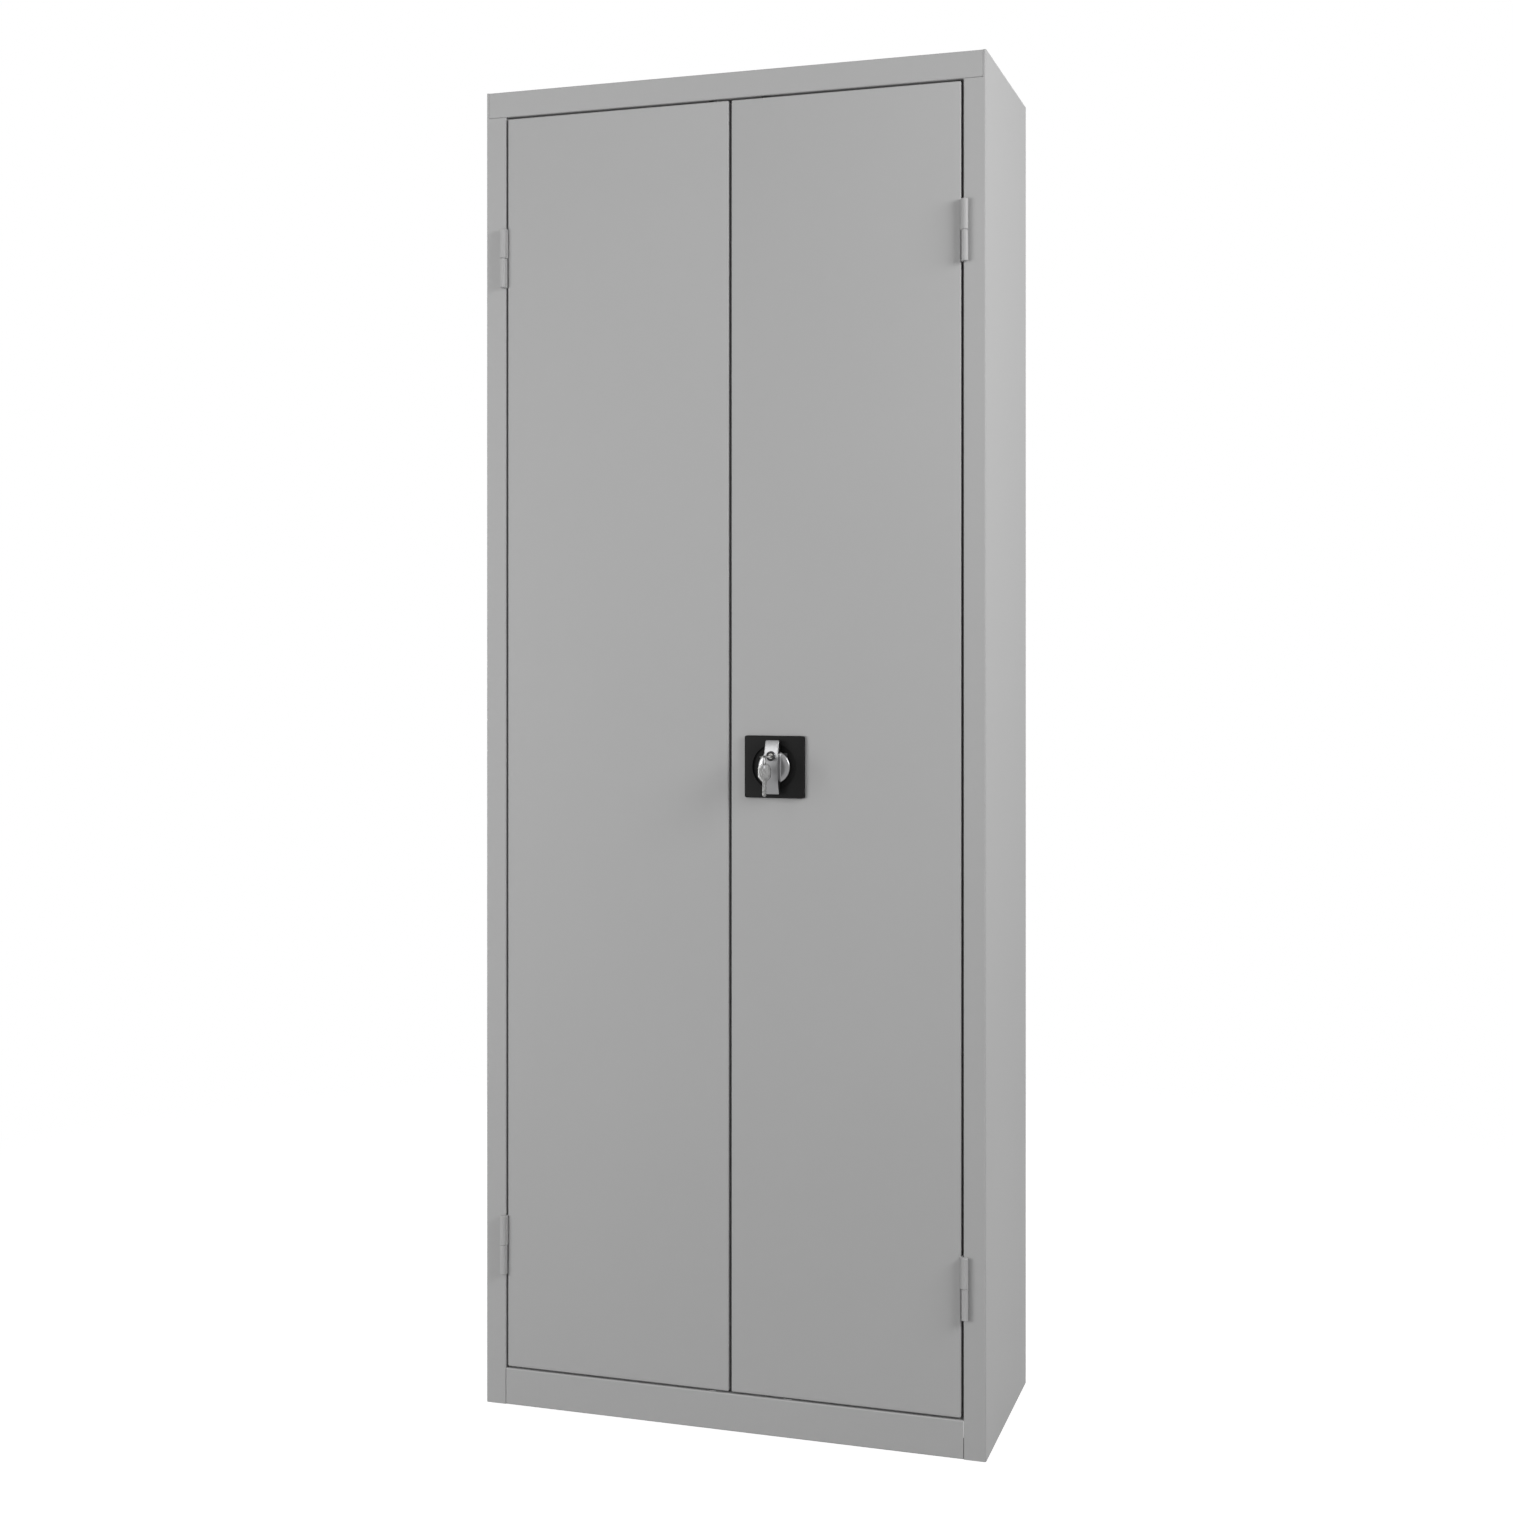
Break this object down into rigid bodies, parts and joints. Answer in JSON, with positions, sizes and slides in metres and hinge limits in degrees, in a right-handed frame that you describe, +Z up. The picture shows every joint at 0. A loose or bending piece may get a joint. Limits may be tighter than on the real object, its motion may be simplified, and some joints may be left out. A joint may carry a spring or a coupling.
{
  "type": "tool cabinet with doors",
  "caption": "Tall narrow sheet-steel tool cabinet with flush hinged doors, adjustable shelves and a turning-handle rod lock with key.",
  "frame": {"origin": "centre of the case's footprint on the floor, halfway across its width and its depth", "axes": "+X across the front to the right as seen from the front, -Y out of the front, +Z up"},
  "size_m": [0.765, 0.3853, 1.98],
  "materials": {
    "paint": "mid-grey powder coat, satin, faint orange peel",
    "zinc": "bright zinc plate",
    "cast_silver": "satin chrome on zinc casting",
    "black_plastic": "matt black moulding",
    "dark_steel": "black-oxide steel",
    "nylon": "natural nylon",
    "rubber": "soft black rubber",
    "key_metal": "nickel plate, dulled by use"
  },
  "bodies": {
    "case": {"left_side": "paint", "right_side": "paint", "back_panel": "paint", "top_panel": "paint", "header_lip": "paint", "header_stop": "paint", "floor_panel": "paint", "shelf_1": "paint", "shelf_2": "paint", "shelf_3": "paint", "shelf_4": "paint", "front_left_upright": "zinc", "front_right_upright": "zinc", "rear_left_upright": "zinc", "rear_right_upright": "zinc", "shelf_clips": "zinc", "rod_keepers": "zinc", "door_buffers": "rubber", "hinge_posts": "paint", "hinge_pins": "zinc"},
    "left_door": {"left_door_panel": "paint", "left_door_stiffener": "paint", "left_hinge_leaves": "paint", "bolt_guides": "nylon"},
    "upper_bolt": {"upper_slide_bolt": "zinc"},
    "lower_bolt": {"lower_slide_bolt": "zinc"},
    "right_door": {"right_door_panel": "paint", "right_door_stiffener": "paint", "right_hinge_leaves": "paint", "rod_guides": "nylon", "lock_plate": "black_plastic", "gear_case": "dark_steel", "gear_case_cover": "dark_steel", "lock_screws": "zinc", "cover_screws": "zinc"},
    "turn_handle": {"handle": "cast_silver", "spindle": "zinc", "pinion": "zinc", "spindle_screw": "zinc", "lock_housing": "black_plastic"},
    "plug": {"lock_plug": "key_metal", "lock_tongue": "dark_steel"},
    "inserted_key": {"key": "key_metal"},
    "ring": {"key_ring": "key_metal"},
    "hanging_key": {"spare_key": "key_metal"},
    "upper_lock_rod": {"upper_rack": "zinc", "upper_rod": "zinc"},
    "lower_lock_rod": {"lower_rack": "zinc", "lower_rod": "zinc"}
  },
  "joints": [
    {"name": "left_door_swing", "type": "hinge", "parent": "case", "child": "left_door", "pos_m": [-0.3535, -0.167, 0.9845], "axis": [0, 0, -1], "range_deg": [0, 180]},
    {"name": "right_door_swing", "type": "hinge", "parent": "case", "child": "right_door", "pos_m": [0.3535, -0.167, 0.9845], "axis": [0, 0, 1], "range_deg": [0, 180]},
    {"name": "handle_turn", "type": "hinge", "parent": "right_door", "child": "turn_handle", "pos_m": [0.074, -0.1625, 0.969], "axis": [0, 1, 0], "range_deg": [0, 90]},
    {"name": "upper_rod_slide", "type": "slide", "parent": "right_door", "child": "upper_lock_rod", "axis": [0, 0, 1], "range_m": [0, 0.019]},
    {"name": "lower_rod_slide", "type": "slide", "parent": "right_door", "child": "lower_lock_rod", "axis": [0, 0, -1], "range_m": [0, 0.019]},
    {"name": "key_turn", "type": "hinge", "parent": "turn_handle", "child": "plug", "pos_m": [0.074, -0.1625, 0.9855], "axis": [0, -1, 0], "range_deg": [0, 90]},
    {"name": "key_pull", "type": "slide", "parent": "plug", "child": "inserted_key", "axis": [0, -1, 0], "range_m": [0, 0.02]},
    {"name": "ring_swing", "type": "hinge", "parent": "inserted_key", "child": "ring", "pos_m": [0.074, -0.21535, 0.9855], "axis": [-1, 0, 0], "range_deg": [-8, 30]},
    {"name": "spare_key_swing", "type": "hinge", "parent": "ring", "child": "hanging_key", "pos_m": [0.074, -0.21535, 0.97415], "axis": [0, 1, 0], "range_deg": [-45, 45]},
    {"name": "upper_bolt_slide", "type": "slide", "parent": "left_door", "child": "upper_bolt", "axis": [0, 0, 1], "range_m": [0, 0.016]},
    {"name": "lower_bolt_slide", "type": "slide", "parent": "left_door", "child": "lower_bolt", "axis": [0, 0, -1], "range_m": [0, 0.016]}
  ],
  "couplings": [
    {"joint": "upper_rod_slide", "follows": "handle_turn", "m_per_rad": 0.012},
    {"joint": "lower_rod_slide", "follows": "handle_turn", "m_per_rad": 0.012}
  ]
}
